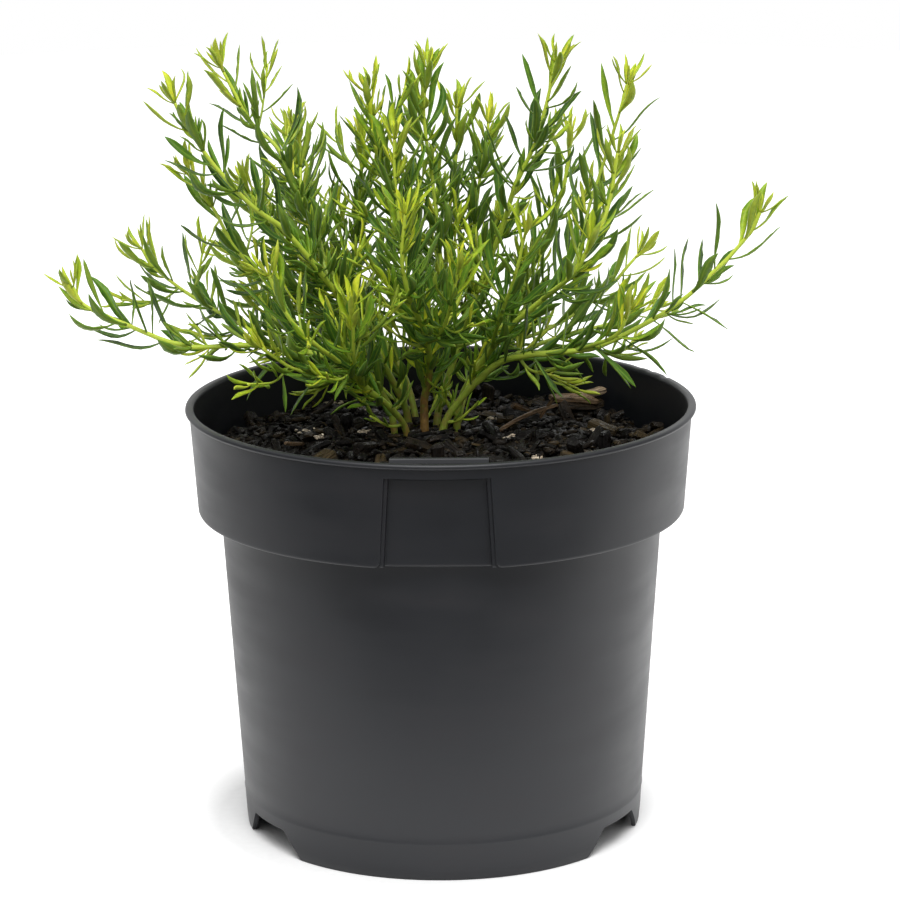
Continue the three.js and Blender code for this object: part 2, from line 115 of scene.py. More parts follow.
# A mesh in the making: points in millimetres from the pot's axis, faces with their material slots,
# and one list of numbers for each attribute.
class Shape:

    def __init__(self, *attributes):
        self.points = []
        self.faces = []
        self.slots = []
        self.values = {name: [] for name in attributes}

    def point(self, p, **values):
        self.points.append(p)
        for name, column in self.values.items():
            column.append(values.get(name, 0.0))
        return len(self.points) - 1

    def face(self, *corners, slot=0):
        self.faces.append(corners)
        self.slots.append(slot)

    def wall(self, rings, slot=0):
        for a, b in zip(rings, rings[1:]):
            for i in range(len(a)):
                j = (i + 1) % len(a)
                self.face(a[i], a[j], b[j], b[i], slot=slot)

    def fan(self, ring, centre, slot=0):
        for i, corner in enumerate(ring):
            self.face(corner, ring[(i + 1) % len(ring)], centre, slot=slot)

    def tube(self, rings, slot=0, tip=None):
        self.wall(rings, slot)
        self.face(*reversed(rings[0]), slot=slot)
        if tip is None:
            self.face(*rings[-1], slot=slot)
        else:
            self.fan(rings[-1], tip, slot)

    def ring(self, outline, z):
        return [self.point((x, y, z)) for x, y in outline]

    def prism(self, outline, low, high):
        self.tube([self.ring(outline, low), self.ring(outline, high)])

    def mesh(self, name):
        mesh = bpy.data.meshes.new(name)
        mesh.from_pydata([toFrame(p) for p in self.points], [], self.faces)
        return mesh


def newObject(name, data):
    thing = bpy.data.objects.new(name, data)
    bpy.context.scene.collection.objects.link(thing)
    return thing


def turnOutward(thing):
    cleaner = bmesh.new()
    cleaner.from_mesh(thing.data)
    bmesh.ops.recalc_face_normals(cleaner, faces=cleaner.faces)
    cleaner.to_mesh(thing.data)
    cleaner.free()


def makePiece(name, shape, materials, slot, *nodes):
    mesh = shape.mesh(name)
    for material in materials:
        mesh.materials.append(material)
    mesh.polygons.foreach_set("material_index", shape.slots)
    mesh.polygons.foreach_set("use_smooth", [True] * len(shape.faces))
    for key, column in shape.values.items():
        mesh.attributes.new(key, "FLOAT", "POINT").data.foreach_set("value", column)
    mesh.validate()
    piece = newObject(name, mesh)
    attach(piece, "root")
    if nodes:
        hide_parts(*nodes)
    turnOutward(piece)
    return piece


# Smooth faces, with a crisp edge where two of them meet at more than the angle.
def smoothFaces(piece, limit):
    piece.data.polygons.foreach_set("use_smooth", [True] * len(piece.data.polygons))
    piece.data.set_sharp_from_angle(angle=radians(limit))


# Pot

pot = {
    "height": 119.0,
    "beadRadius": 70.0,
    "beadHeight": 1.35,
    "wall": 1.3,
    "collarTopRadius": 69.0,
    "collarFootRadius": 66.9,
    "collarFoot": 90.0,
    "bodyTopRadius": 60.8,
    "footRadius": 54.9,
    "floorUnder": 9.0,
    "floorThickness": 1.6,
    "seamHeight": 10.6,  # the faint ring where two halves of the mould met
    "seamStep": 0.14,
    "edgeRound": 0.4,
    "columnStep": 1.6,  # degrees
    "columnRadius": 64.0,  # inside this radius a column keeps its angle
    "crispFrom": 42,  # degrees between two faces
}
panel = {
    "top": 114.8,
    "topWidth": 27.7,
    "footWidth": 30.5,
    "border": 1.1,
    "borderStep": 1.25,
    "footFace": -63.35,
    "wall": 1.05,
    "cornerRound": 1.7,
    "groove": 0.55,
    "turn": -0.9,  # degrees round the pot's axis
    "zone": (24, -50),  # how far out to each side, and how far forward, the collar is looked at for it
    "backMargin": 1.9,  # the inside stands forward this far past the panel
}
ledge = {
    "left": -13.5,
    "right": 12.4,
    "front": -62.4,
    "back": -60.2,
    "top": 118.75,
    "thickness": 1.8,
    "edge": 0.25,
    "lean": 0.4,  # the front leans back, so that it catches the light from above
    "webFoot": 112.0,
    "shelf": (115.0, 116.6),  # its underside and top
    "shelfFront": -67.5,
}
notch = {"angles": (-61, 61, 180), "height": 7.2, "topHalfAngle": 8.5, "footHalfAngle": 16.5}
drain = {"count": 6, "radius": 4.0, "ring": 38.0, "sides": 28}
rimNicks = ((24, 0.5, 1.4), (31, 0.7, 1.0), (36, 0.35, 1.8))  # degrees, depth, half width in degrees


def bodyRadius(z):
    return pot["footRadius"] + (pot["bodyTopRadius"] - pot["footRadius"]) * z / pot["collarFoot"]


def collarRadius(z):
    part = (z - pot["collarFoot"]) / (pot["height"] - pot["collarFoot"])
    return pot["collarFootRadius"] + (pot["collarTopRadius"] - pot["collarFootRadius"]) * part


def panelHalf(z):
    z = min(panel["top"], max(pot["collarFoot"], z))
    part = (z - pot["collarFoot"]) / (panel["top"] - pot["collarFoot"])
    return (panel["footWidth"] + (panel["topWidth"] - panel["footWidth"]) * part) / 2


def panelFace(z):
    return panel["footFace"] - collarRadius(z) + pot["collarFootRadius"]


def nearPanel(x, y):
    aside, forward = panel["zone"]
    return y < forward and abs(x) < aside


# Columns round the pot: close together at the panel's sides, then evenly spaced.
def potColumns():
    inside = [0, 0.08, 0.16, 0.3, 0.6, 0.9, 1.02, 1.1, 1.18, 1.3, 1.6]
    outside = [3.4, 2.4, 1.7, 1.2, 0.8, 0.45, 0.2, 0.07]
    depths = [-d for d in outside] + inside
    columns = [("side", -1, d) for d in depths]
    columns += [("inner", 0, f / 6) for f in range(-5, 6)]
    columns += [("side", 1, d) for d in reversed(depths)]
    edge = degrees(asin((panel["footWidth"] / 2 + 4.6) / pot["collarFootRadius"]))
    count = round((360 - 2 * edge) / pot["columnStep"])
    columns += [("angle", 0, edge + (360 - 2 * edge) * i / count) for i in range(count + 1)]
    return columns


def columnAngle(column, radius, z):
    kind, side, value = column
    radius = max(radius, pot["columnRadius"])
    if kind == "angle":
        return radians(value)
    if kind == "side":
        x = side * (panelHalf(z) - value)
    else:
        x = value * (panelHalf(z) - 1.6)
    return asin(x / radius)


def ringPoint(column, radius, z):
    a = columnAngle(column, radius, z)
    return [radius * sin(a), -radius * cos(a), z]


# A point of the collar's outside, with the stepped label panel let into its front.
def outerCollar(column, inset, z):
    x, y, z = ringPoint(column, collarRadius(z) - inset, z)
    if nearPanel(x, y):
        fromSide = panelHalf(z) - abs(x)
        reach = min(fromSide - panel["border"], panel["top"] - z - 0.1)
        first = smoothstep(-0.06, 0.14, min(fromSide, panel["top"] - z))
        second = smoothstep(-0.08, 0.1, reach)
        face = panelFace(z) + inset
        y += first * (face - panel["borderStep"] - y)
        y += second * panel["borderStep"]
        y += panel["groove"] * max(0.0, 1 - abs(reach - 0.35) / 0.32)
        r = panel["cornerRound"]
        if -r < fromSide < 0:
            reach = (r + fromSide) / r
            rise = r * (1 - sqrt(max(0.0, 1 - reach * reach)))
            z += rise * (1 - smoothstep(0, 5, z - pot["collarFoot"]))
    return [x, y, z]


# A point of the collar's inside, which stands forward behind the panel.
def innerCollar(column, inset, z):
    x, y, z = ringPoint(column, collarRadius(z) - pot["wall"] - inset, z)
    if nearPanel(x, y):
        margin = panel["backMargin"]
        reach = min(panel["footWidth"] / 2 + margin - abs(x), panel["top"] + margin - z)
        back = panelFace(z) + panel["wall"]
        y += smoothstep(-0.1, 0.7, reach) * max(0.0, back - y)
    return [x, y, z]


# The pot's section, from under the middle of the floor, round the rim, to the floor's top: the
# function that makes each ring's points, a radius or an inset, and a height.
def potRows():
    wall, foot, collarFoot, top = pot["wall"], pot["footRadius"], pot["collarFoot"], pot["height"]
    under, bead, edge = pot["floorUnder"], pot["beadRadius"], pot["edgeRound"]
    seam, step = pot["seamHeight"], pot["seamStep"]
    floorTop, stepTop = under + pot["floorThickness"], collarFoot + wall
    beadFoot, inner = top - pot["beadHeight"], pot["collarTopRadius"] - wall
    # under the floor, down the skirt's inside and up the body
    outside = [(r, under) for r in (20, 33, 43, bodyRadius(under) - wall - 0.6)]
    outside += [(bodyRadius(under) - wall, under - 0.6)]
    outside += [(bodyRadius(z) - wall, z) for z in (5.5, 2.5, 0.5)]
    outside += [(foot - wall + 0.25, 0), (foot - 0.35, 0), (foot - 0.04, 0.35)]
    outside += [(bodyRadius(z) + step * 0.4, z) for z in (3, 6, seam - 0.6)]
    outside += [(bodyRadius(seam) + step, seam - 0.2), (bodyRadius(seam), seam + 0.15)]
    outside += [(bodyRadius(z), z) for z in (13, 20, 30, 40, 50, 60, 70, 80, 86, 89)]
    outside += [(bodyRadius(collarFoot), collarFoot - 0.4), (bodyRadius(collarFoot) + 0.4, collarFoot)]
    # the collar, with rings close together at the panel's top
    collar = [(edge, collarFoot), (edge * 0.3, collarFoot + edge * 0.3)]
    collar += [(0, collarFoot + dz) for dz in (edge, 0.9, 1.6, 2.6, 4, 6, 9, 13, 17, 20.5)]
    panelRows = (2, 1.2, 0.7, 0.4, 0.24, 0.16, 0.08, 0, -0.07, -0.2, -0.6, -1.4)
    collar += [(0, panel["top"] - dz) for dz in panelRows] + [(0, beadFoot - 0.3)]
    # the bead
    rim = [(bead - 0.62, beadFoot), (bead - 0.25, beadFoot + 0.08), (bead, beadFoot + 0.45)]
    for a in (0, 22, 45, 68, 90):
        rim.append((bead - 0.75 + 0.75 * cos(radians(a)), top - 0.75 + 0.75 * sin(radians(a))))
    rim += [(inner + out, top - drop) for out, drop in ((0.75, 0), (0.3, 0.12), (0, 0.5))]
    # down the inside to the floor's top
    inside = [(0, top - 1.2)] + [(0, panel["top"] + dz) for dz in (2.2, 1.9, 1.5, 1)]
    inside += [(0, z) for z in (112, 106, 100, 95, stepTop + 0.4)] + [(0.5, stepTop)]
    within = [(pot["bodyTopRadius"] - wall + 0.4, stepTop)]
    within += [(bodyRadius(z) - wall, z) for z in (stepTop - 0.5, 70, 40, floorTop + 0.5)]
    within += [(bodyRadius(floorTop) - wall - 0.6, floorTop)]
    within += [(r, floorTop) for r in (43, 33, 20)]
    rows = []
    for make, places in ((ringPoint, outside), (outerCollar, collar), (ringPoint, rim),
                         (innerCollar, inside), (ringPoint, within)):
        rows += [(make, size, z) for size, z in places]
    return rows, (0, 0, under), (0, 0, floorTop)


# Small dents that handling has left in the rim's top.
def nickRim(p):
    deep = 1.3
    if p[2] < pot["height"] - deep:
        return p
    azimuth = degrees(atan2(p[1], p[0]))
    for place, depth, spread in rimNicks:
        near = max(0.0, 1 - abs(azimuth - place) / spread)
        p[2] -= depth * near * near * (p[2] - pot["height"] + deep) / deep
    return p


def rectangle(left, right, front, back):
    return ((left, front), (right, front), (right, back), (left, back))


def cutAway(piece, cutter):
    change = piece.modifiers.new("cut", "BOOLEAN")
    change.operation = "DIFFERENCE"
    change.solver = "EXACT"
    change.object = cutter
    evaluated = piece.evaluated_get(bpy.context.evaluated_depsgraph_get())
    mesh = bpy.data.meshes.new_from_object(evaluated)
    piece.modifiers.clear()
    piece.data = mesh
    bpy.data.objects.remove(cutter)


# Skirt notches, wider at the foot, and round holes in the floor, as one cutting shape.
def drainCutter():
    shape = Shape()
    for middle in notch["angles"]:
        rings = []
        for radius in (pot["footRadius"] - 9, pot["footRadius"] + 6):
            ring = []
            outline = [(notch["footHalfAngle"], -1)]
            for more, drop in ((1.2, 0.9), (0.5, 0.25), (-0.5, 0)):
                outline.append((notch["topHalfAngle"] + more, notch["height"] - drop))
            for half, z in [(-h, z) for h, z in outline] + [(h, z) for h, z in reversed(outline)]:
                a = radians(middle + half - 90)
                ring.append(shape.point((*polar(radius, a), z)))
            rings.append(ring)
        shape.tube(rings)
    radius = drain["radius"]
    for a in wholeTurn(drain["count"]):
        x, y = polar(drain["ring"], a)
        circle = [(x + radius * cos(t), y + radius * sin(t)) for t in wholeTurn(drain["sides"])]
        shape.prism(circle, pot["floorUnder"] - 3, pot["floorUnder"] + 4)
    cutter = newObject("drain_cutter", shape.mesh("drain_cutter"))
    turnOutward(cutter)
    return cutter


# Injection-moulded polypropylene: near black and satin, with faint flow marks and a fine grain.
def mouldedPlastic():
    material, add = newMaterial("moulded_polypropylene")
    place = add("TexCoord").outputs["Object"]
    flow = add("Mapping", {"Vector": place, "Scale": (25, 25, 160)})
    streaks = add("TexNoise", {"Vector": flow, "Scale": 1.0, "Detail": 4.0})
    clouds = add("TexNoise", {"Vector": place, "Scale": 38.0, "Detail": 5.0})
    grain = add("TexNoise", {"Vector": place, "Scale": 2600.0, "Detail": 2.0})
    blend = add("Mix", {"Factor": 0.5, "A": streaks, "B": clouds})
    stops = ((0.35, "#101217"), (0.5, "#14161b"), (0.68, "#1a1a1e"))
    colour = add("ValToRGB", {"Fac": blend}, stops)
    rough = add("MapRange", (blend, 0.35, 0.65, 0.38, 0.5))
    bump = add("Bump", {"Height": grain, "Strength": 0.05, "Distance": 0.1 * mm})
    closeMaterial(add, {"Base Color": colour, "Roughness": rough, "IOR": 1.49, "Normal": bump})
    return material


# The straight bar behind the rim, the web under it, and the shelf that joins it to the collar.
def makeLedge(material):
    shape = Shape()
    edge, lean, top = ledge["edge"], ledge["lean"], ledge["top"]
    left, right, front, back = [ledge[side] for side in ("left", "right", "front", "back")]
    low = top - ledge["thickness"]
    rings = []
    for inset, leant, z in ((edge, 0, low), (0, 0, low + edge), (0, 0.05, low + 0.6),
                            (0, 0.35, top - edge), (edge, lean, top)):
        outline = rectangle(left + inset, right - inset, front + inset + leant, back - inset)
        rings.append(shape.ring(outline, z))
    shape.tube(rings)
    left, right, back = left + 0.3, right - 0.3, back - 0.3
    shape.prism(rectangle(left, right, front + 0.45, back), ledge["webFoot"], low + 0.3)
    shape.prism(rectangle(left, right, ledge["shelfFront"], back), *ledge["shelf"])
    bar = makePiece("pot_label_ledge", shape, [material], "pot_plastic")
    bar.data.polygons.foreach_set("use_smooth", [False] * len(bar.data.polygons))


def makePot():
    shape = Shape()
    columns = potColumns()
    rows, under, top = potRows()
    turn = Matrix.Rotation(radians(panel["turn"]), 3, "Z")
    rings = []
    for make, size, z in rows:
        rings.append([shape.point(nickRim(turn @ Vector(make(column, size, z)))) for column in columns])
    shape.wall(rings)
    for ring, centre in ((rings[0], under), (rings[-1], top)):
        shape.fan(ring, shape.point(centre))
    material = mouldedPlastic()
    piece = makePiece("moulded_pot", shape, [material], "pot_plastic", "pot")
    cutAway(piece, drainCutter())
    smoothFaces(piece, pot["crispFrom"])
    makeLedge(material)


makePot()
print("pot made")


# Potting mix

mix = {
    "wallGap": 0.4,
    "edge": 103.0,
    "middle": 108.5,
    "wallRadius": 66.0,
    "panelBack": -62.6,
    "spokes": 150,
    "circles": 44,
    "roughness": 1.6,
    "seed": 1207,
    "bigChips": 150,
    "bigLength": (6, 12),
    "chips": 620,
    "chipLength": (2.5, 6),
    "chipWidth": (0.22, 0.45),  # as a part of its length
    "chipCrispFrom": 24,  # degrees between two faces
    "crumbs": 1500,
    "flecks": 130,
    "fleckGroup": 7,  # pale flecks lie in small groups
    "fleckSize": (0.5, 1.3),
}
# Larger pieces that lie where they catch the eye. The columns: x, y, height above the mix, length,
# width, turn, tilt and tone.
namedChips = (
    (41, 44, 4.6, 12, 3, 18, -8, 0.93),
    (38, 40, 3.8, 13, 5.5, 12, 6, 0.85),
    (40, 42, 2.4, 13, 8, 30, 4, 0.5),
    (45, 12, 1.6, 9, 4.5, -38, 10, 0.66),
    (56, -2, 2.4, 9, 5, 60, 30, 0.66),
    (48, -20, 1.8, 6, 4, 70, 12, 0.88),
    (36, -22, 1.6, 8, 3, 15, 20, 0.62),
    (-34, -30, 1.8, 15, 6, 52, -14, 0.66),
    (-48, -22, 1.6, 10, 3, 28, 6, 0.84),
    (-17, -42, 1.6, 6, 5, 10, 8, 0.9),
    (16, 20, 1.6, 9, 4, -15, 5, 0.6),
    (24, 26, 1.6, 10, 2.2, 30, 26, 0.78),
    (-14, 14, 1.6, 12, 6, 5, 8, 0.6),
    (24, 10, 4.2, 18, 1.2, 8, -22, 0.84),
    (29.5, 10.8, 6.6, 7, 0.8, 30, -48, 0.8),
    (-40, -8, 2.4, 11, 1.1, 65, 14, 0.86),
    (30, -38, 2.0, 12, 1.6, 12, 4, 0.9),
    (12, -44, 2.2, 9, 2.4, 20, 10, 0.92),
    (-3, -46, 1.8, 7, 5, 0, 6, 0.93),
)
mixValues = ("tone", "grainU", "grainV", "grainW")  # what each point of the mix carries for its material


def grained(tone, u, v, w):
    return dict(zip(mixValues, (tone, u, v, w)))


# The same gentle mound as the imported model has.
def mixTop(x, y):
    r = hypot(x, y) / (pot["collarFootRadius"] - pot["wall"])
    mound = mix["edge"] + (mix["middle"] - mix["edge"]) * sqrt(max(0.0, 1 - r * r))
    lumps = sin(x * 0.31 + 1.3) * cos(y * 0.27 - 0.4) + 0.6 * sin(x * 0.55 - y * 0.47)
    return mound + 0.7 * lumps * (1 - 0.5 * r)


# Keeps a point inside the pot's wall, and behind the label panel and its ledge.
def insidePot(x, y, z):
    limit = mix["wallRadius"] if z > pot["collarFoot"] + 4 else bodyRadius(z) - pot["wall"] - 0.5
    r = hypot(x, y)
    if r > limit:
        x, y = x * limit / r, y * limit / r
    if abs(x) < panel["footWidth"] / 2 + 2.5 and z > pot["collarFoot"]:
        y = max(y, mix["panelBack"])
    return x, y, z


# A split of bark: an uneven block with chamfered edges and ends broken off at an angle.
def addChip(shape, draw, place, length, width, thick, turn, tilt, roll, tone):
    spin = Matrix.Rotation(turn, 3, "Z") @ Matrix.Rotation(tilt, 3, "Y") @ Matrix.Rotation(roll, 3, "X")
    bend, skew = draw.uniform(-0.06, 0.06), draw.uniform(-0.25, 0.25)
    section = [(-1, -0.55), (-0.7, -1), (0.65, -1), (1, -0.5), (1, 0.5), (0.6, 1), (-0.75, 1), (-1, 0.6)]
    section = [(v * draw.uniform(0.82, 1.12), w * draw.uniform(0.75, 1.15)) for v, w in section]
    rings = []
    for along in (-1, -0.86, -0.3, 0.3, 0.86, 1):
        narrow = (0.72 if abs(along) == 1 else 1.0) * draw.uniform(0.86, 1.05)
        ring = []
        for v, w in section:
            u = along * length / 2 + skew * v * width * 0.5 * abs(along)
            w = w * thick / 2 * narrow + bend * length * (along * along - 0.4)
            p = Vector(place) + spin @ Vector((u, v * width / 2 * narrow, w))
            ring.append(shape.point(insidePot(*p), **grained(tone, u, v * width / 2 + 20 * tone, w)))
        rings.append(ring)
    shape.tube(rings)


# A crumb: a small uneven lump of four rings with five corners each, longer than it is wide.
def addCrumb(shape, draw, place, size, tone):
    spin = Matrix.Rotation(draw.uniform(0, 6.28), 3, "Z") @ Matrix.Rotation(draw.uniform(0, 6.28), 3, "X")
    rings = []
    for height, reach in ((-0.8, 0.5), (-0.2, 1.0), (0.5, 0.85), (0.85, 0.35)):
        ring = []
        for a in wholeTurn(5):
            a += height
            p = Vector((reach * cos(a) * 1.9, reach * sin(a) * 0.9, height * 0.6)) * size / 2
            p = Vector(place) + spin @ (p * draw.uniform(0.75, 1.2))
            ring.append(shape.point(insidePot(*p), **grained(tone, *p)))
        rings.append(ring)
    shape.tube(rings)


# Composted pine bark, damp: dark brown to black with a wet sheen, and a few dry, paler splits.
def dampBark():
    material, add = newMaterial("damp_composted_bark")
    tone, *axes = [add("Attribute", attribute_name=n).outputs["Fac"] for n in mixValues]
    grain = add("CombineXYZ", axes)
    stretch = add("Mapping", {"Vector": grain, "Scale": (0.2, 1.7, 1.7)})
    fibre = add("TexNoise", {"Vector": stretch, "Scale": 1.0, "Detail": 5.0})
    blotch = add("TexNoise", {"Vector": grain, "Scale": 0.55, "Detail": 3.0})
    stops = ((0.0, "#080605"), (0.3, "#130e09"), (0.5, "#221a10"), (0.66, "#352b19"), (0.8, "#4c3925"),
             (0.92, "#7e6a54"), (1.0, "#c6baa6"))
    base = add("ValToRGB", {"Fac": tone}, stops)
    light = add("MapRange", (fibre, 0.32, 0.7, 0.15, 2.1))
    both = {0: 1.0, 6: base, 7: light}
    colour = add("Mix", both, data_type="RGBA", blend_type="MULTIPLY").outputs[2]
    wet = add("MapRange", (blotch, 0.42, 0.6, 0.24, 0.82))
    bump = add("Bump", {"Height": fibre, "Strength": 0.9, "Distance": 0.5 * mm})
    closeMaterial(add, {"Base Color": colour, "Roughness": wet, "IOR": 1.4, "Specular IOR Level": 0.3,
                        "Normal": bump})
    return material


# The root ball: a solid that fills the pot, with an uneven top.
def makeMixBody(material):
    shape = Shape(*mixValues)
    wallRadius, circles = mix["wallRadius"], mix["circles"]
    floorTop = pot["floorUnder"] + pot["floorThickness"] + mix["wallGap"]
    stepTop = pot["collarFoot"] + pot["wall"] + mix["wallGap"]
    inset = pot["wall"] + mix["wallGap"]
    profile = [(30, floorTop), (bodyRadius(floorTop) - inset, floorTop)]
    profile += [(bodyRadius(z) - inset, z) for z in (40, 70, stepTop)]
    profile += [(collarRadius(stepTop) - inset - 0.3, stepTop), (wallRadius, 97.0)]
    turns = wholeTurn(mix["spokes"])
    rings = []
    for radius, z in profile:
        places = [insidePot(*polar(radius, a), z) for a in turns]
        rings.append([shape.point(p, **grained(0.2, *p)) for p in places])
    for i in range(circles, 0, -1):
        ring = []
        for a in turns:
            x, y = polar(wallRadius * i / circles, a)
            rough = mix["roughness"] * noise.fractal(Vector((x * 0.3, y * 0.3, 7.0)), 1.0, 2.0, 3)
            p = insidePot(x, y, mixTop(x, y) - 1.0 + rough)
            tone = 0.25 + 0.2 * noise.noise(Vector((p[0] * 0.4, p[1] * 0.4, 0)))
            ring.append(shape.point(p, **grained(tone, *p)))
        rings.append(ring)
    shape.tube(rings)
    makePiece("bark_mix_body", shape, [material], "bark_mix", "potting_mix")


def scatter(draw, radius):
    a = draw.uniform(0, 2 * pi)
    return polar(radius * sqrt(draw.random()), a)


def makeChips(material, draw):
    shape = Shape(*mixValues)
    for x, y, lift, length, width, turn, tilt, tone in namedChips:
        place = (x, y, mixTop(x, y) + lift)
        turn, tilt = radians(turn), radians(tilt)
        addChip(shape, draw, place, length, width, min(2.2, width), turn, tilt, 0.1, tone)
    for i in range(mix["bigChips"] + mix["chips"]):
        x, y = scatter(draw, mix["wallRadius"])
        length = draw.uniform(*mix["bigLength" if i < mix["bigChips"] else "chipLength"])
        width = length * draw.uniform(*mix["chipWidth"])
        steep = 1.0 if draw.random() < 0.25 else 0.45
        tone = 0.03 + 0.64 * draw.random() ** 2.4 + (0.2 if draw.random() < 0.03 else 0)
        place = (x, y, mixTop(x, y) + draw.uniform(-1.2, 1.0))
        addChip(shape, draw, place, length, width, width * draw.uniform(0.4, 0.85), draw.uniform(0, 6.28),
                steep * draw.gauss(0, 0.8), draw.gauss(0, 0.5), tone)
    smoothFaces(makePiece("bark_chips", shape, [material], "bark_mix"), mix["chipCrispFrom"])


def makeCrumbs(material, draw):
    shape = Shape(*mixValues)
    for i in range(mix["crumbs"] + mix["flecks"]):
        pale = i >= mix["crumbs"]
        if not pale or i % mix["fleckGroup"] == 0:
            midX, midY = scatter(draw, mix["wallRadius"] + 0.3)
        x, y = midX, midY
        if pale:
            x, y = midX + draw.gauss(0, 1.2), midY + draw.gauss(0, 0.8)
        size = draw.uniform(*mix["fleckSize"]) if pale else 0.8 + 2.4 * draw.random() ** 2
        tone = draw.uniform(0.95, 1.0) if pale else 0.05 + 0.6 * draw.random() ** 1.6
        place = (x, y, mixTop(x, y) + (draw.uniform(0.9, 1.9) if pale else draw.uniform(-0.2, 1.2)))
        addCrumb(shape, draw, place, size, tone)
    makePiece("bark_crumbs", shape, [material], "bark_mix")


def makeMix():
    material = dampBark()
    draw = random.Random(mix["seed"])
    makeMixBody(material)
    makeChips(material, draw)
    makeCrumbs(material, draw)


makeMix()
print("potting mix made")


# Leafy stems

shoot = {
    "tipRadius": 0.55,
    "sideTipRadius": 0.5,
    "mostSideRadius": 1.1,
    "bury": 13.0,
    "mainBare": 11,
    "sideBare": 6,
    "sides": 10,
    "twigSides": 6,
    "nodeSwell": 0.352,
    "ridge": 0.07,
    "drawnPart": 0.78,  # the thickness that is drawn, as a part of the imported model's
    "woodyReach": 34.0,
    "stepsPerSpan": 12,
}
leaf = {
    "goldenAngle": 137.5,
    "spacing": 4.4,
    "tipSpacing": 2.6,
    "youngReach": 22.0,  # millimetres from the tip
    "oldPart": 0.35,  # of a shoot's length, from its foot
    "opening": 52,  # degrees from the shoot, fewer by the next value at its tip
    "tipClosing": 30,
    "longest": 19.0,
    "shortest": 9.0,
    "width": 2.3,
    "widestAt": 0.46,
    "thickness": 0.4,
    "wave": 0.35,
    "fineFrom": 8,  # shorter ones are made of fewer rings
    "seed": 317,
}
dressing = {
    "seed": 4021,
    "betweenChance": 0.9,
    "axilChance": 0.9,
    "axilLeaves": (4, 7),
    "axilLength": (5.0, 12.0),
    "twigChance": 0.42,
    "twigReach": 0.8,  # twigs grow on this part of a shoot, counted from its foot
    "twigLength": (12.0, 26.0),
    "twigLeaf": 12.5,
    "footTwigs": 1,
    "droopChance": 0.12,
    "freshChance": 0.25,
    "tuftLeaves": 8,
    "tuftLongest": 11,
}

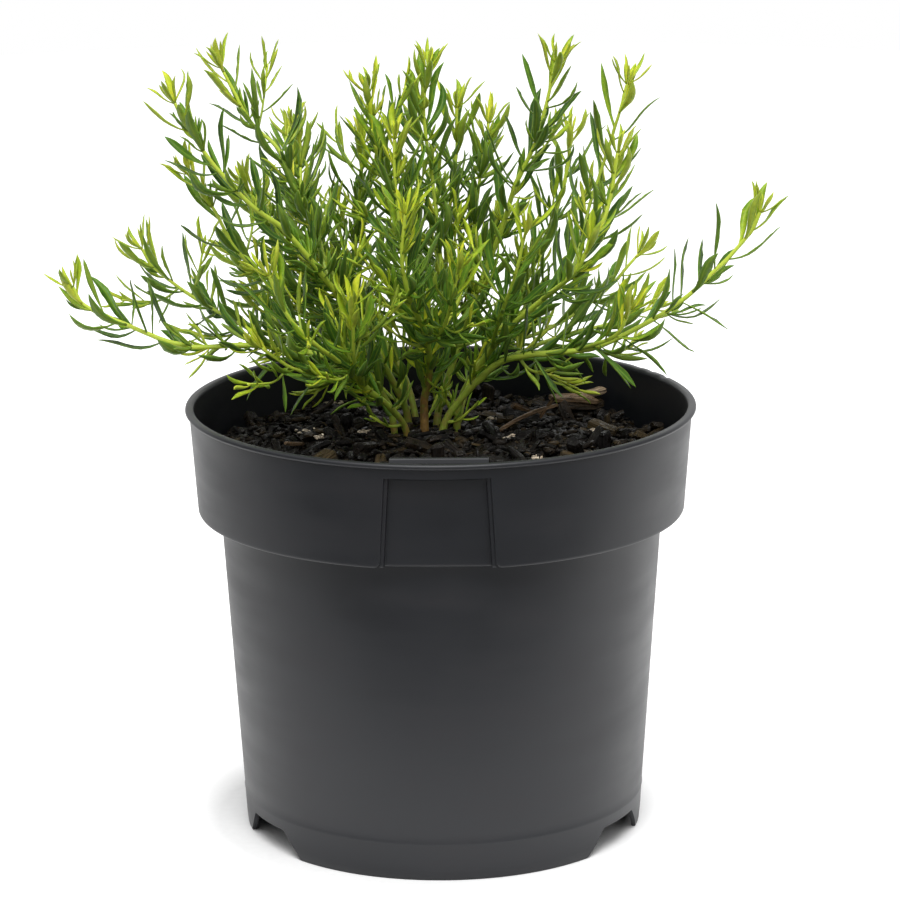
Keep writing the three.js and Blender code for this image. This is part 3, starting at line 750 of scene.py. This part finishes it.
# Each leafy stem: the hole in the mix that it stands in, its thickness, how full of leaves it is, and
# its shoots. The first shoot rises from the hole. The others leave it, or an earlier one, at a part
# of its length. Then come the points that the shoot passes through.
leafyStems = [
    ("leafy_stem_centre", (-4.5, 6), 1.9, 1.3, (
        (None, 0, (-4.5, 6, 118), (-3, 3, 127), (-4, -8, 140), (-8, -20, 152), (-10, -26, 164),
         (-9, -29, 177)),
        (0, 0.5, (-7, -4, 144), (-9, 1, 158), (-11, 2, 170), (-12, 2, 182), (-12, 1, 192)),
        (0, 0.4, (1, 14, 138), (0, 21, 158), (-2, 23, 178), (-4, 22, 194), (-3, 22, 208)),
        (2, 0.4, (-8, 17, 166), (-14, 17, 180), (-17, 18, 192), (-19, 18, 202)),
        (0, 0.46, (0, -14, 141), (3, -22, 151), (5, -26, 162)),
    )),
    ("leafy_stem_front_left", (-9.5, 4), 1.4, 0.55, (
        (None, 0, (-14, -2, 118), (-21, -10, 126), (-26, -20, 134), (-33, -30, 142), (-40, -36, 151),
         (-45, -39, 163)),
        (0, 0.42, (-22, -18, 131), (-23, -28, 138), (-23, -34, 147), (-23, -36, 154)),
        (0, 0.46, (-32, -15, 130), (-40, -18, 133), (-48, -20, 139)),
    )),
    ("leafy_stem_low_left", (-13, 9), 1.4, 0.38, (
        (None, 0, (-16, 8, 119), (-28, 3, 130), (-50, -4, 136), (-69, -8, 137), (-86, -10, 144),
         (-96, -10, 149), (-99, -10, 154)),
        (0, 0.22, (-35, 15, 131), (-52, 22, 135), (-67, 26, 142), (-79, 27, 151), (-83, 27, 157)),
        (0, 0.38, (-44, 6, 140), (-50, 10, 147)),
    )),
    ("leafy_stem_upper_left", (-9, 14), 1.5, 0.6, (
        (None, 0, (-11, 13, 117), (-18, 8, 132), (-27, 0, 148), (-41, -8, 168), (-50, -12, 176),
         (-60, -15, 188), (-67, -16, 199), (-70, -16, 205)),
        (0, 0.4, (-32, 5, 160), (-39, 8, 177), (-44, 10, 188), (-51, 11, 195), (-59, 12, 210)),
        (0, 0.36, (-36, 1, 149), (-49, 0, 156), (-56, 0, 163), (-61, 0, 173), (-68, 0, 183)),
        (0, 0.47, (-37, 10, 172), (-38, 19, 188)),
    )),
    ("leafy_stem_back_left", (-7, 20), 1.4, 1.0, (
        (None, 0, (-12, 27, 124), (-26, 38, 142), (-35, 44, 160), (-40, 46, 176), (-41, 46, 187)),
        (0, 0.45, (-34, 30, 148), (-46, 30, 162), (-54, 31, 174)),
        (0, 0.36, (-30, 44, 130), (-48, 54, 138), (-60, 58, 149)),
        (0, 0.5, (-24, 44, 156), (-22, 42, 172), (-21, 40, 184)),
    )),
    ("leafy_stem_back", (-1, 16), 1.6, 0.85, (
        (None, 0, (1, 20, 117), (8, 25, 138), (17, 22, 162), (21, 17, 176), (27, 13, 190), (32, 10, 211)),
        (0, 0.42, (8, 32, 146), (10, 36, 163), (12, 37, 178), (14, 37, 190)),
        (0, 0.36, (2, 32, 142), (3, 37, 166), (5, 39, 182), (5, 39, 194)),
        (0, 0.32, (-3, 36, 130), (-6, 50, 142), (-8, 58, 158), (-9, 60, 168)),
    )),
    ("leafy_stem_back_right", (5, 18), 1.4, 0.3, (
        (None, 0, (10, 28, 122), (22, 38, 140), (31, 44, 158), (36, 46, 174), (37, 46, 185)),
        (0, 0.44, (30, 29, 142), (40, 26, 154), (46, 24, 168), (48, 23, 178)),
        (0, 0.36, (30, 44, 129), (46, 54, 137), (57, 58, 148)),
    )),
    ("leafy_stem_upper_right", (4.5, 11), 1.5, 0.15, (
        (None, 0, (6, 11, 118), (12, 8, 129), (20, 2, 140), (30, -4, 150), (36, -6, 156),
         (43, -7, 168), (46, -6, 176), (48, -6, 189)),
        (0, 0.66, (39, 3, 164), (41, 7, 172), (45, 8, 184), (49, 5, 198), (51, 4, 206)),
        (0, 0.56, (34, -12, 155), (38, -17, 161), (40, -19, 168)),
        (0, 0.36, (15, -4, 139), (17, -14, 148), (20, -21, 158), (23, -26, 172)),
    )),
    ("leafy_stem_low_right", (0.5, 5), 1.5, 0.22, (
        (None, 0, (5, 4, 118), (15, 0, 129), (24, -5, 133), (40, -11, 136), (51, -13, 141),
         (64, -14, 149), (75, -14, 159), (83, -14, 168), (86, -14, 174)),
        (0, 0.32, (27, 8, 133), (37, 14, 135), (48, 17, 137), (59, 18, 141)),
        (0, 0.48, (47, -17, 141), (51, -20, 149)),
    )),
]

leafValues = ("age", "tone", "across", "upper")  # what each point of leaf and stem carries


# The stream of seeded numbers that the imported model's leaves are placed by.
def seeded(state):
    while True:
        state = state * 48271 % 2147483647
        yield state / 2147483647


# A smooth curve through the points, as samples of place, direction, distance and thickness.
def sampleShoot(points, startRadius, endRadius):
    points = [Vector(p) for p in points]
    padded = [points[0] * 2 - points[1]] + points + [points[-1] * 2 - points[-2]]
    steps = shoot["stepsPerSpan"]
    places = []
    for i in range(len(points) - 1):
        p0, p1, p2, p3 = padded[i:i + 4]
        t1, t2 = (p2 - p0) / 2, (p3 - p1) / 2
        for k in range(steps):
            t = k / steps
            bend = p2 * 3 - p1 * 3 - t1 * 2 - t2
            turn = p1 * 2 - p2 * 2 + t1 + t2
            places.append(p1 + t1 * t + bend * t * t + turn * t * t * t)
    places.append(points[-1].copy())
    last = len(places) - 1
    samples, distance = [], 0.0
    for i, place in enumerate(places):
        distance += (place - places[i - 1]).length if i else 0.0
        tangent = (places[min(last, i + 1)] - places[max(0, i - 1)]).normalized()
        radius = startRadius + (endRadius - startRadius) * (i / last) ** 0.8
        samples.append((place, tangent, distance, radius))
    return samples


def alongShoot(samples, distance):
    return next((s for s in samples if s[2] >= distance), samples[-1])


# Every shoot of a stem, as its samples and the length at its foot that stays bare.
def growShoots(hole, radius, shoots):
    grown = []
    for parent, at, *path in shoots:
        if parent is None:
            path = ((*hole, mix["middle"] - shoot["bury"] + 1), (*hole, mix["middle"] + 1), *path)
            size, tipSize, bare = radius, shoot["tipRadius"], shoot["bury"] + shoot["mainBare"]
        else:
            carrier = grown[parent][0]
            start = alongShoot(carrier, at * carrier[-1][2])
            path = (start[0], *path)
            size = min(shoot["mostSideRadius"], start[3] * 0.8)
            tipSize, bare = shoot["sideTipRadius"], shoot["sideBare"]
        grown.append((sampleShoot(path, size, tipSize), bare))
    return grown


def squareTo(tangent):
    level = Vector((0, 0, 1)).cross(tangent)
    if level.length < 0.05:
        level = Vector((1, 0, 0))
    level.normalize()
    return level, tangent.cross(level).normalized()


# The direction that points out from a shoot, at an angle round it.
def outFrom(tangent, azimuth):
    level, rise = squareTo(tangent)
    return level * cos(radians(azimuth)) + rise * sin(radians(azimuth))


# The leaf stations of one shoot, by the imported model's own rule.
def leafStations(samples, bare, draw):
    length = samples[-1][2]
    distance, azimuth = bare, 360 * next(draw)
    stations = []
    while distance < length - 0.4:
        part = distance / length
        young = max(0.0, 1 - (length - distance) / leaf["youngReach"])
        old = max(0.0, leaf["oldPart"] - part) / leaf["oldPart"]
        size = leaf["longest"] - (leaf["longest"] - leaf["shortest"]) * max(young * young, 0.55 * old)
        stations.append({
            "distance": distance,
            "azimuth": azimuth + 24 * (next(draw) - 0.5),
            "open": leaf["opening"] - leaf["tipClosing"] * young + 12 * (next(draw) - 0.5),
            "length": size * (0.82 + 0.3 * next(draw)),
            "lift": 0.55 + 0.4 * next(draw),
            "width": leaf["width"] * (0.84 + 0.2 * next(draw)) * (1 - 0.25 * young),
            "young": young,
            "part": part,
        })
        azimuth += leaf["goldenAngle"]
        distance += leaf["spacing"] + (leaf["tipSpacing"] - leaf["spacing"]) * young
    return stations


# Whether a leaf's point is above the mix and off the rim.
def clearOfPot(p):
    reach = hypot(p.x, p.y)
    overRim = p.z > pot["height"] + 1 or reach < 60 or reach > pot["beadRadius"] + 2
    return overRim and (reach > pot["beadRadius"] or p.z > mixTop(p.x, p.y) + 2)


# One leaf: a narrow channelled blade on a curved spine, widest past its middle, with a sharp tip.
def addLeaf(shape, sample, azimuth, opening, length, lift, width, age, draw, fine=True):
    place, tangent, _, stemRadius = sample
    o, out = radians(opening), outFrom(tangent, azimuth)
    broad = tangent.cross(out).normalized()
    first = (tangent * cos(o) + out * sin(o)).normalized()
    second = (first + Vector((0, 0, lift)) + tangent * 0.25).normalized()
    root = place + out * stemRadius * 0.5
    middle = place + first * length * leaf["widestAt"]
    tip = middle + second * length * (1 - leaf["widestAt"])
    if not (clearOfPot(middle) and clearOfPot(tip)):
        return
    endWay = (second + broad * draw.uniform(-0.55, 0.55) + out * draw.uniform(-0.5, 0.85)).normalized()
    handle = length * 0.4
    p1, p2 = root + first * handle, tip - endWay * handle
    twist = draw.uniform(-0.7, 0.7)
    tone = draw.random()
    stations = (0, 0.12, 0.35, 0.6, 0.8, 0.93)
    if fine:
        stations = (0, 0.07, 0.18, 0.32, 0.46, 0.6, 0.72, 0.82, 0.91, 0.97)
    teeth = [draw.random() < 0.35 and length > 12 for _ in range(2)]
    rings = []
    for k, t in enumerate(stations):
        s = 1 - t
        centre = root * s ** 3 + p1 * 3 * s * s * t + p2 * 3 * s * t * t + tip * t ** 3
        way = ((p1 - root) * s * s + (p2 - p1) * 2 * s * t + (tip - p2) * t * t).normalized()
        side = (broad * cos(twist * t) + way.cross(broad) * sin(twist * t)).normalized()
        side = (side - way * side.dot(way)).normalized()
        keel = way.cross(side)
        swell = 0.36 + 0.64 * smoothstep(0.0, 0.5, t)
        half = width / 2 * swell * (1 - max(0.0, (t - 0.66) / 0.34) ** 2)
        wave = (draw.random() - 0.5) * leaf["wave"] * half
        thick = leaf["thickness"] * (0.55 + 0.45 * swell) * min(1.0, (1 - t) * 4 + 0.25)
        left, right = half, half
        if fine and k in (6, 8):
            left *= 1.16 if teeth[0] else 1
            right *= 1.16 if teeth[1] else 1
        grey = age - 0.16 * (1 - t) ** 2
        # sideways, up, and the two values: how far across, and whether on the upper face
        section = ((-left, 0.16 * left + wave, -1, 0.6), (-left * 0.55, -thick * 0.7, -0.55, 0),
                   (0, -thick, 0, 0), (right * 0.55, -thick * 0.7, 0.55, 0),
                   (right, 0.16 * right - wave, 1, 0.6), (0, thick * 0.1 - half * 0.04, 0, 1))
        ring = []
        for x, y, across, up in section:
            p = centre + side * x + keel * y
            ring.append(shape.point(p, age=grey, tone=tone, across=across, upper=up))
        rings.append(ring)
    end = shape.point(tip, age=age, tone=tone, across=0, upper=0.5)
    shape.tube(rings, tip=end)


# A stem: a tube that swells where its leaves leave it, with low ridges running down from them.
def addStem(shape, samples, stations, woody, sides):
    rings = []
    length = samples[-1][2]
    swells = []
    for s in stations:
        tangent = alongShoot(samples, s["distance"])[1]
        swells.append((s["distance"], outFrom(tangent, s["azimuth"])))
    level = squareTo(samples[0][1])[0]
    for place, tangent, distance, radius in samples:
        # the ring's frame is carried along the shoot, so the tube never twists
        level = (level - tangent * level.dot(tangent)).normalized()
        rise = tangent.cross(level)
        near = [(d, way) for d, way in swells if -1.6 < distance - d < 3.2]
        ring = []
        for k, a in enumerate(wholeTurn(sides)):
            outward = level * cos(a) + rise * sin(a)
            push = 1.0
            for d, way in near:
                close = max(0.0, outward.dot(way)) ** 2
                fade = 1 - abs(distance - d + 0.4) / 3.6
                push += shoot["nodeSwell"] * close * max(0.0, fade)
            push += shoot["ridge"] * noise.noise(Vector((distance * 0.5, k * 1.7, radius * 9)))
            p = place + outward * radius * push * shoot["drawnPart"]
            bark = woody * max(0.0, 1 - max(0.0, distance - shoot["bury"]) / shoot["woodyReach"])
            ring.append(shape.point(p, age=bark, tone=1 - distance / length, across=cos(a)))
        rings.append(ring)
    shape.tube(rings, slot=1)


# Small leaves are narrower for their length than large ones.
def smallWidth(size):
    return 0.5 + 0.083 * size


# A short leafy twig, or a tuft in the angle between leaf and stem.
def addTwig(shape, sample, azimuth, opening, length, leafSize, spacing, young, draw):
    place, tangent, _, stemRadius = sample
    o, out = radians(opening), outFrom(tangent, azimuth)
    way = tangent * cos(o) + out * sin(o)
    bend = (way + Vector((0, 0, 0.55))).normalized()
    path = [place, place + way * length * 0.4, place + way * length * 0.4 + bend * length * 0.6]
    samples = sampleShoot(path, min(0.75, stemRadius * 0.7), 0.35)
    stations = []
    distance, turn = min(3.0, length * 0.35), draw.uniform(0, 360)
    while distance < length:
        stations.append({"distance": distance, "azimuth": turn})
        tipward = distance / length
        size = leafSize * draw.uniform(0.75, 1.1) * (1 - 0.3 * tipward)
        age = young * tipward ** 0.7 * draw.uniform(0.8, 1.1)
        opening = 58 - 30 * tipward + draw.uniform(-10, 10)
        addLeaf(shape, alongShoot(samples, distance), turn, opening, size, draw.uniform(0.3, 0.7),
                smallWidth(size), 0.8 - 0.65 * age, draw, fine=size > leaf["fineFrom"])
        turn += leaf["goldenAngle"] + draw.uniform(-10, 10)
        distance += spacing * (1 - 0.5 * tipward)
    addStem(shape, samples, stations, 0.0, shoot["twigSides"])


# What leaves and stems share: flesh that lets a little light through.
flesh = {
    "Roughness": 0.45,
    "IOR": 1.42,
    "Subsurface Radius": (0.5, 1.0, 0.2),
    "Subsurface Scale": 0.8 * mm,
}


# Leaves of creeping boobialla: fleshy, smooth and satin. The young ones are yellow-green and let
# light through, the old ones are a deeper green, and each is greyer underneath.
def fleshyLeaf():
    material, add = newMaterial("fleshy_leaf_satin")
    age, tone, across, upper = [add("Attribute", attribute_name=n).outputs["Fac"] for n in leafValues]
    place = add("TexCoord").outputs["Object"]
    # cells of about 1.5 mm
    mottle = add("TexNoise", {"Vector": place, "Scale": 650.0, "Detail": 3.0})
    shift = add("MapRange", (mottle, 0.3, 0.7, -0.1, 0.1))
    spread = add("MapRange", (tone, 0.0, 1.0, -0.14, 0.14))
    moved = add("Math", (age, shift), operation="ADD")
    aged = add("Math", (moved, spread), operation="ADD")
    stops = ((0.0, "#d6d634"), (0.22, "#acc024"), (0.45, "#70961e"), (0.65, "#507e1f"), (0.85, "#38641c"),
             (1.0, "#284a18"))
    top = add("ValToRGB", {"Fac": aged}, stops)
    stops = ((0.0, "#c4cc48"), (0.5, "#809a36"), (1.0, "#567630"))
    under = add("ValToRGB", {"Fac": aged}, stops)
    face = add("Mix", {0: upper, 6: under, 7: top}, data_type="RGBA").outputs[2]
    reach = add("Math", (across,), operation="ABSOLUTE")
    # a paler midrib and margin
    rib = add("MapRange", (reach, 0.22, 0.0, 0.0, 0.35))
    ribbed = add("Mix", {0: rib, 6: face, 7: linear("#a4b43c")}, data_type="RGBA").outputs[2]
    edge = add("MapRange", (reach, 0.8, 1.0, 0.0, 0.55))
    rimmed = add("Mix", {0: edge, 6: ribbed, 7: linear("#9cb03a")}, data_type="RGBA").outputs[2]
    bump = add("Bump", {"Height": mottle, "Strength": 0.25, "Distance": 0.15 * mm})
    closeMaterial(add, {**flesh, "Base Color": rimmed, "Specular IOR Level": 0.35, "Subsurface Weight": 0.2,
                        "Normal": bump})
    return material


# Green stem: pale yellow-green and satin, turning to an olive-brown bark at its foot.
def greenStem():
    material, add = newMaterial("green_stem_satin")
    bark, tip = [add("Attribute", attribute_name=n).outputs["Fac"] for n in leafValues[:2]]
    place = add("TexCoord").outputs["Object"]
    streak = add("TexNoise", {"Vector": place, "Scale": 420.0, "Detail": 4.0})
    stops = ((0.0, "#c8d84c"), (0.5, "#acc042"), (1.0, "#7e9436"))
    green = add("ValToRGB", {"Fac": tip}, stops)
    stops = ((0.35, "#5a4422"), (0.65, "#96743e"))
    brown = add("ValToRGB", {"Fac": streak}, stops)
    ragged = add("Math", (streak, 0.5), operation="SUBTRACT")
    spread = add("Math", (ragged, 1.2, bark), operation="MULTIPLY_ADD")
    cover = add("MapRange", (spread, 0.25, 0.75))
    colour = add("Mix", {0: cover, 6: green, 7: brown}, data_type="RGBA").outputs[2]
    bump = add("Bump", {"Height": streak, "Strength": 0.4, "Distance": 0.3 * mm})
    closeMaterial(add, {**flesh, "Base Color": colour, "Subsurface Weight": 0.15, "Normal": bump})
    return material


# The leaves at one station: its own, one on the way to the next, a tuft and a twig in its angle, and
# on the low stems now and then a leaf that droops.
def dressStation(shape, samples, stations, i, full, low, draw):
    s = stations[i]
    sample = alongShoot(samples, s["distance"])
    age = 0.92 - 0.82 * s["young"] ** 0.8
    here = full * (1.05 - 0.25 * s["part"])
    opening = s["open"] + 12 * s["young"]
    lift = s["lift"] + (0.45 if low else 0.1)
    addLeaf(shape, sample, s["azimuth"], opening, s["length"], lift, s["width"] * 1.1, age, draw)
    if i + 1 < len(stations) and draw.random() < dressing["betweenChance"] * min(1.0, 0.12 + here):
        gap = stations[i + 1]["distance"] - s["distance"]
        between = alongShoot(samples, s["distance"] + gap * draw.uniform(0.4, 0.6))
        addLeaf(shape, between, s["azimuth"] + 180 + draw.uniform(-35, 35), s["open"] + draw.uniform(0, 18),
                s["length"] * draw.uniform(0.7, 1.0), lift, s["width"], age, draw)
    if s["young"] < 0.75 and draw.random() < dressing["axilChance"] * min(1.0, 0.08 + here):
        ages = (0.1, 0.35) if draw.random() < dressing["freshChance"] else (0.45, 0.9)
        for _ in range(draw.randint(*dressing["axilLeaves"])):
            size = draw.uniform(*dressing["axilLength"]) * (1 - 0.5 * s["young"])
            azimuth, opening = s["azimuth"] + draw.uniform(-100, 100), s["open"] * draw.uniform(0.6, 1.6)
            addLeaf(shape, sample, azimuth, opening, size, 0.5, smallWidth(size), draw.uniform(*ages), draw,
                    fine=size > leaf["fineFrom"])
    if s["part"] < dressing["twigReach"] and draw.random() < dressing["twigChance"] * here:
        reach = draw.uniform(*dressing["twigLength"]) * (1.1 - 0.5 * s["part"])
        azimuth = s["azimuth"] + draw.uniform(-60, 60)
        addTwig(shape, sample, azimuth, draw.uniform(45, 75), reach, dressing["twigLeaf"], 2.3, 0.9, draw)
    if low and s["part"] < 0.8 and draw.random() < dressing["droopChance"]:
        addLeaf(shape, sample, draw.uniform(235, 305), 62, s["length"] * 0.85, -0.55, s["width"], 0.8, draw)


def makeLeafyStem(index, materials):
    name, hole, radius, full, shoots = leafyStems[index]
    rule = seeded(leaf["seed"] + 17 * index)
    draw = random.Random(dressing["seed"] + index)
    shape = Shape(*leafValues)
    low = "low" in name or "front" in name
    for samples, bare in growShoots(hole, radius, shoots):
        stations = leafStations(samples, bare, rule)
        main = bare > shoot["sideBare"]
        woody = (1.0 if "centre" in name else 0.45) if main else 0.0
        addStem(shape, samples, stations, woody, shoot["sides"])
        for i in range(len(stations)):
            dressStation(shape, samples, stations, i, full, low, draw)
        if main:
            for k in range(dressing["footTwigs"]):
                sample = alongShoot(samples, shoot["bury"] + 2 + 5 * k)
                addTwig(shape, sample, draw.uniform(0, 360), 55, draw.uniform(8, 15), 8, 2.6, 0.7, draw)
        for k in range(dressing["tuftLeaves"]):
            size = dressing["tuftLongest"] - 0.95 * k + draw.uniform(-0.8, 0.8)
            addLeaf(shape, samples[-1], k * leaf["goldenAngle"], 60 - 6 * k, max(3.0, size), 0.4,
                    smallWidth(size) * 0.85, 0.3 - 0.03 * k, draw, fine=size > 6)
    makePiece(name + "_leaves", shape, materials, "foliage", name)
    return len(shape.faces)


foliageMaterials = [fleshyLeaf(), greenStem()]
total = sum(makeLeafyStem(i, foliageMaterials) for i in range(len(leafyStems)))
print("leafy stems made,", total, "faces")


# Camera, floor and light

studio = {
    "eye": (0.0, -1077.59, 379.88),  # mm from the pot's axis
    "aim": (0.0022246, 0.9690294, -0.2469355),
    "roll": -0.0069,
    "lens": 161.7,
    "floorRadius": 0.8,  # metres
    "floorPlace": (0.0, 0.655, -0.00002),
    "floorSides": 96,
    "floorGlow": 0.5,  # painted light, as from a lit table: the floor glows though it is no lamp, keeps the surround white and lights the pot's foot
    "glowFrom": (0.057, 0.075),  # metres from the pot's axis, so that it stays dark under the pot
    "boxSize": 0.9,
    "boxPlace": (0.0, -0.7, 1.3),
    "boxPower": 20.0,
    "sky": (0.03, 0.7),  # brightness of the surround's light at the horizon and overhead
    "back": 1.0,
    "front": 0.45,
    "left": 0.15,
    "right": 0.24,
}


def makeCamera():
    aim = Vector(studio["aim"]).normalized()
    right = aim.cross(Vector((0, 0, 1))).normalized()
    above = right.cross(aim)
    c, s = cos(studio["roll"]), sin(studio["roll"])
    axes = (right * c + above * s, above * c - right * s, -aim)
    data = bpy.data.cameras.new("camera")
    data.lens = studio["lens"]
    data.sensor_width = 36.0
    data.clip_end = 20.0
    camera = newObject("camera", data)
    place = Matrix(axes).transposed().to_4x4()
    place.translation = Vector(toFrame(studio["eye"]))
    camera.matrix_world = place
    bpy.context.scene.camera = camera


# Studio floor: matt white paper, with a trace of tooth, and a painted glow: it emits light though it is no
# lamp, to light the pot's foot and flanks.
def makeFloor():
    material, add = newMaterial("matt_white_paper")
    place = add("TexCoord").outputs["Object"]
    tooth = add("TexNoise", {"Vector": place, "Scale": 500.0, "Detail": 3.0})
    stops = ((0.3, "#ededed"), (0.7, "#f1f1f1"))
    colour = add("ValToRGB", {"Fac": tooth}, stops)
    # painted light: the floor glows, from nothing under the pot to full strength just past its foot
    place = add("NewGeometry").outputs["Position"]
    reach = add("VectorMath", (place,), operation="LENGTH").outputs["Value"]
    glow = add("MapRange", (reach, *studio["glowFrom"], 0.0, studio["floorGlow"]))
    # the painted glow is dimmer to the near left, as the pot's left flank shows
    where = add("SeparateXYZ", (place,)).outputs
    east = add("MapRange", (where["X"], -0.2, -0.1, 0.1, 1.0))
    far = add("MapRange", (where["Y"], 0.15, 0.4))
    part = add("Math", (east, far), operation="MAXIMUM")
    amount = add("Math", (glow, part), operation="MULTIPLY")
    closeMaterial(add, {"Base Color": colour, "Roughness": 0.9, "Specular IOR Level": 0.2,
                        "Emission Color": linear("#ffffff"), "Emission Strength": amount})
    mesh = bpy.data.meshes.new("studio_floor")
    corners = [(*polar(studio["floorRadius"], a), 0) for a in wholeTurn(studio["floorSides"])]
    mesh.from_pydata(corners, [], [tuple(range(len(corners)))])
    mesh.materials.append(material)
    floor = newObject("studio_floor", mesh)
    floor.location = studio["floorPlace"]


# A white surround to the camera, and for light a bright top and back with a dimmer front and sides.
def makeWorld():
    world = bpy.data.worlds.new("studio")
    bpy.context.scene.world = world
    add = clearNodes(world)
    way = add("TexCoord").outputs["Generated"]
    parts = add("SeparateXYZ", (way,)).outputs
    high = add("MapRange", (parts["Z"], 0.0, 0.9, *studio["sky"]))
    back = add("MapRange", (parts["Y"], 0.38, 1.0, 0.0, studio["back"]))
    front = add("MapRange", (parts["Y"], -0.6, -1.0, 0.0, studio["front"]))
    wide = add("Math", (high, front), operation="ADD")
    for edge, strength in ((-0.7, studio["left"]), (0.7, studio["right"])):
        side = add("MapRange", (parts["X"], edge * 0.4, edge, 0.0, strength))
        wide = add("Math", (wide, side), operation="ADD")
    amount = add("Math", (wide, back), operation="ADD")
    soft = add("Background", {"Color": linear("#ffffff"), "Strength": amount})
    white = add("Background", {"Color": linear("#ffffff"), "Strength": 1.0})
    seen = add("LightPath").outputs["Is Camera Ray"]
    both = add("MixShader", (seen, soft, white))
    add("OutputWorld", {"Surface": both})


# A square softbox over the front of the pot, turned towards the plant's middle.
def makeSoftbox():
    data = bpy.data.lights.new("overhead_softbox", "AREA")
    data.shape = "SQUARE"
    data.size = studio["boxSize"]
    data.energy = studio["boxPower"]
    box = newObject("overhead_softbox", data)
    box.location = studio["boxPlace"]
    box.rotation_euler = (Vector((0, 0, 0.12)) - box.location).to_track_quat("-Z", "Y").to_euler()


makeCamera()
makeFloor()
makeWorld()
makeSoftbox()
bpy.context.scene.view_settings.view_transform = "Standard"
print("camera, floor and light set")
